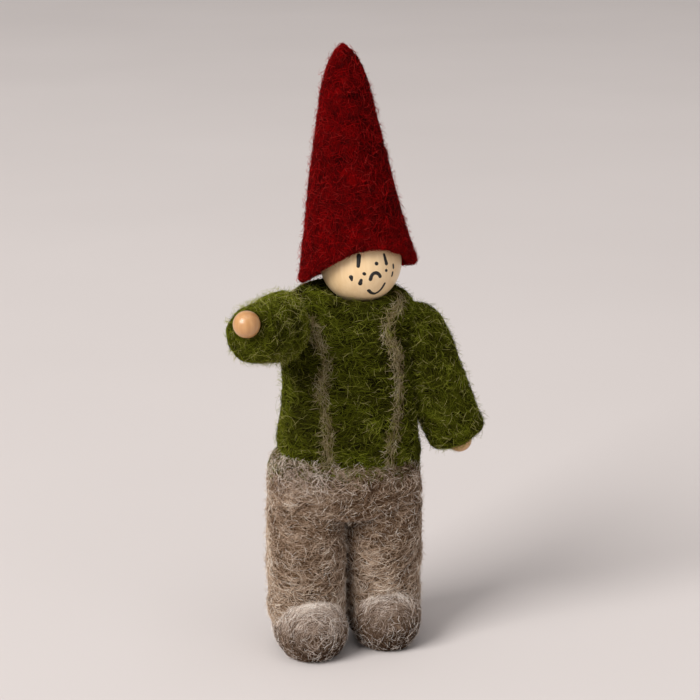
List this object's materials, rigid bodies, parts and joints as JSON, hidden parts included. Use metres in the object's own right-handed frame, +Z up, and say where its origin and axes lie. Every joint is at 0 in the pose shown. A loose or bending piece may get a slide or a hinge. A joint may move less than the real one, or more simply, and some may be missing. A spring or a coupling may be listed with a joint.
{
  "type": "felted gnome doll",
  "caption": "Bendable needle-felted gnome doll with a wooden bead head and hands, tall hollow cone hat, sweater with braces, trousers and wound feet.",
  "frame": {"origin": "middle of the whole doll's box at floor level, under the soles", "axes": "+Z up the doll to the hat's tip, -Y the way the doll faces, +X the doll's left"},
  "size_m": [0.0856, 0.0514, 0.1895],
  "materials": {
    "green_felt": "needle-felted wool",
    "red_felt": "needle-felted wool",
    "trouser_felt": "needle-felted wool",
    "foot_wool": "wound wool",
    "brace_felt": "needle-felted wool",
    "core_wool": "wool batting",
    "stem_pile": "chenille pile",
    "stem_wire": "twisted wire",
    "head_wood": "satin pale wood",
    "hand_wood": "satin stained wood"
  },
  "bodies": {
    "torso": {"sweater_body": "green_felt", "core_wool": "core_wool", "trouser_seat": "trouser_felt", "right_brace": "brace_felt", "left_brace": "brace_felt", "spine_stem": "stem_pile", "spine_wire": "stem_wire", "shoulder_stem": "stem_pile", "shoulder_wire": "stem_wire"},
    "neck": {"neck_stem": "stem_pile", "neck_wire": "stem_wire"},
    "head": {"head_bead": "head_wood"},
    "hat": {"hat_shell": "red_felt"},
    "right_upper_arm": {"right_sleeve_upper": "green_felt", "right_upper_arm_stem": "stem_pile", "right_upper_arm_wire": "stem_wire"},
    "right_forearm": {"right_sleeve_lower": "green_felt", "right_forearm_stem": "stem_pile", "right_forearm_wire": "stem_wire", "right_hand_bead": "hand_wood"},
    "right_leg": {"right_trouser_leg": "trouser_felt", "right_leg_stem": "stem_pile", "right_leg_wire": "stem_wire"},
    "right_foot": {"right_foot_wool": "foot_wool", "right_foot_stem": "stem_pile", "right_foot_wire": "stem_wire"},
    "left_upper_arm": {"left_sleeve_upper": "green_felt", "left_upper_arm_stem": "stem_pile", "left_upper_arm_wire": "stem_wire"},
    "left_forearm": {"left_sleeve_lower": "green_felt", "left_forearm_stem": "stem_pile", "left_forearm_wire": "stem_wire", "left_hand_bead": "hand_wood"},
    "left_leg": {"left_trouser_leg": "trouser_felt", "left_leg_stem": "stem_pile", "left_leg_wire": "stem_wire"},
    "left_foot": {"left_foot_wool": "foot_wool", "left_foot_stem": "stem_pile", "left_foot_wire": "stem_wire"}
  },
  "joints": [
    {"name": "head_nod", "type": "hinge", "parent": "torso", "child": "neck", "pos_m": [0.0022, 0.0097, 0.1084], "axis": [1, 0, 0], "range_deg": [-5, 5]},
    {"name": "head_turn", "type": "hinge", "parent": "neck", "child": "head", "pos_m": [0.0036, 0.0073, 0.1237], "axis": [0.09, -0.1543, 0.9839], "range_deg": [-40, 40]},
    {"name": "hat_lift", "type": "slide", "parent": "head", "child": "hat", "axis": [-0.0544, 0.0907, 0.9944], "range_m": [0, 0.05]},
    {"name": "right_shoulder", "type": "hinge", "parent": "torso", "child": "right_upper_arm", "pos_m": [-0.0195, 0.0093, 0.102], "axis": [-1, 0, 0], "range_deg": [-150, 20]},
    {"name": "right_elbow", "type": "hinge", "parent": "right_upper_arm", "child": "right_forearm", "pos_m": [-0.0275, -0.0062, 0.1067], "axis": [-0.8864, 0.426, -0.1814], "range_deg": [-10, 60]},
    {"name": "right_hip", "type": "hinge", "parent": "torso", "child": "right_leg", "pos_m": [-0.0134, 0.0103, 0.046], "axis": [-1, 0, 0], "range_deg": [-15, 60]},
    {"name": "right_ankle", "type": "hinge", "parent": "right_leg", "child": "right_foot", "pos_m": [-0.0134, 0.0073, 0.0074], "axis": [-1, 0, 0], "range_deg": [-10, 10]},
    {"name": "left_shoulder", "type": "hinge", "parent": "torso", "child": "left_upper_arm", "pos_m": [0.0215, 0.0103, 0.0995], "axis": [-1, 0, 0], "range_deg": [-43, 127]},
    {"name": "left_elbow", "type": "hinge", "parent": "left_upper_arm", "child": "left_forearm", "pos_m": [0.0285, 0.0093, 0.0822], "axis": [-0.9242, -0.0219, -0.3812], "range_deg": [-10, 60]},
    {"name": "left_hip", "type": "hinge", "parent": "torso", "child": "left_leg", "pos_m": [0.0114, 0.0103, 0.046], "axis": [-1, 0, 0], "range_deg": [-15, 60]},
    {"name": "left_ankle", "type": "hinge", "parent": "left_leg", "child": "left_foot", "pos_m": [0.0114, 0.0113, 0.0074], "axis": [-1, 0, 0], "range_deg": [-10, 10]}
  ]
}
